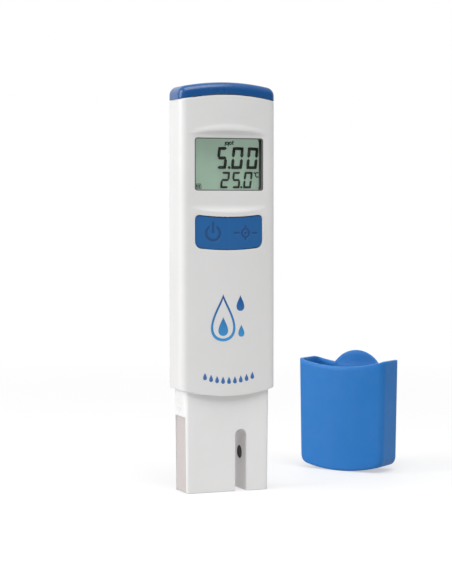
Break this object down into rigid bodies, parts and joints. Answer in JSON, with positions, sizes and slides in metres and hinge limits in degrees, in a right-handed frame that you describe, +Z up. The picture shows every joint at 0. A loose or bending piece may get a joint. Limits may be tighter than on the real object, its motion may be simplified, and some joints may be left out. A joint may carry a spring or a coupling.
{
  "type": "digital water tester",
  "caption": "Pocket digital water tester: arched white case with display and two-key pad, slotted probe with graphite electrodes, battery door, and its blue protective cap beside it.",
  "frame": {"origin": "centre of the probe's foot, where the upright tester stands on a surface", "axes": "+Z up along the tester, the front with the display faces -Y, +X is to the right of someone facing the display"},
  "size_m": [0.108, 0.0615, 0.16],
  "materials": {
    "case_white": "satin white moulded ABS",
    "probe_white": "satin white moulded ABS",
    "top_blue": "dark blue satin plastic",
    "key_blue": "matt blue silicone rubber",
    "cap_blue": "mid blue satin plastic",
    "core_grey": "warm grey moulded insert",
    "window_clear": "clear polished acrylic",
    "lcd_glass": "liquid crystal cell glass, grey green",
    "reflector_film": "silver green reflector film",
    "seal_rubber": "black nitrile",
    "gasket_foam": "black closed-cell foam",
    "steel": "nickel-plated or stainless steel",
    "contact_gold": "gold-plated phosphor bronze",
    "board_green": "green solder mask on glass epoxy",
    "chip_black": "black moulding compound",
    "graphite": "ground graphite",
    "ceramic": "fired ceramic",
    "wire_red": "red wire insulation",
    "wire_black": "black wire insulation"
  },
  "bodies": {
    "case": {"front_housing": "case_white", "rear_cover": "case_white", "top_cap": "top_blue", "case_gasket": "seal_rubber", "case_screw_1": "steel", "case_screw_2": "steel", "case_screw_3": "steel", "case_screw_4": "steel", "display_window": "window_clear", "window_gasket": "gasket_foam", "lcd_front_glass": "lcd_glass", "lcd_rear_glass": "lcd_glass", "lcd_reflector": "reflector_film", "zebra_strip": "gasket_foam", "lcd_holder": "case_white", "circuit_board": "board_green", "processor_chip": "chip_black", "amplifier_chip": "chip_black", "memory_chip": "chip_black", "crystal": "steel", "capacitor_1": "ceramic", "capacitor_2": "ceramic", "board_screw_1": "steel", "board_screw_2": "steel", "keypad_flange": "key_blue", "power_switch": "chip_black", "calibrate_switch": "chip_black", "battery_cup": "case_white", "positive_contact": "contact_gold", "negative_contact": "contact_gold", "coin_cell": "steel", "probe_sleeve": "probe_white", "probe_seal": "seal_rubber", "probe_clip": "chip_black", "sensor_core": "core_grey", "electrode_left": "graphite", "electrode_right": "graphite", "temperature_sensor": "steel", "electrode_lead_left": "wire_black", "electrode_lead_right": "wire_red", "temperature_lead": "wire_black"},
    "power_button": {"power_key": "key_blue"},
    "power_switch_button": {"power_plunger": "seal_rubber"},
    "calibrate_button": {"calibrate_key": "key_blue"},
    "calibrate_switch_button": {"calibrate_plunger": "seal_rubber"},
    "battery_hatch": {"battery_door": "case_white", "battery_door_seal": "seal_rubber"},
    "cap": {"protective_cap": "cap_blue"}
  },
  "joints": [
    {"name": "power_press", "type": "slide", "parent": "case", "child": "power_button", "axis": [0, 1, 0], "range_m": [0, 0.0005], "stiffness_N_per_m": 1500},
    {"name": "power_switch_press", "type": "slide", "parent": "case", "child": "power_switch_button", "axis": [0, 1, 0], "range_m": [0, 0.00025]},
    {"name": "calibrate_press", "type": "slide", "parent": "case", "child": "calibrate_button", "axis": [0, 1, 0], "range_m": [0, 0.0005], "stiffness_N_per_m": 1500},
    {"name": "calibrate_switch_press", "type": "slide", "parent": "case", "child": "calibrate_switch_button", "axis": [0, 1, 0], "range_m": [0, 0.00025]},
    {"name": "battery_door_turn", "type": "hinge", "parent": "case", "child": "battery_hatch", "pos_m": [0, 0.0085, 0.082], "axis": [0, 1, 0], "range_deg": [0, 60]},
    {"name": "cap_lift", "type": "slide", "parent": "case", "child": "cap", "axis": [0, 0, 1], "range_m": [0, 0.05]}
  ],
  "couplings": [
    {"joint": "power_switch_press", "follows": "power_press", "ratio": 0.5},
    {"joint": "calibrate_switch_press", "follows": "calibrate_press", "ratio": 0.5}
  ]
}
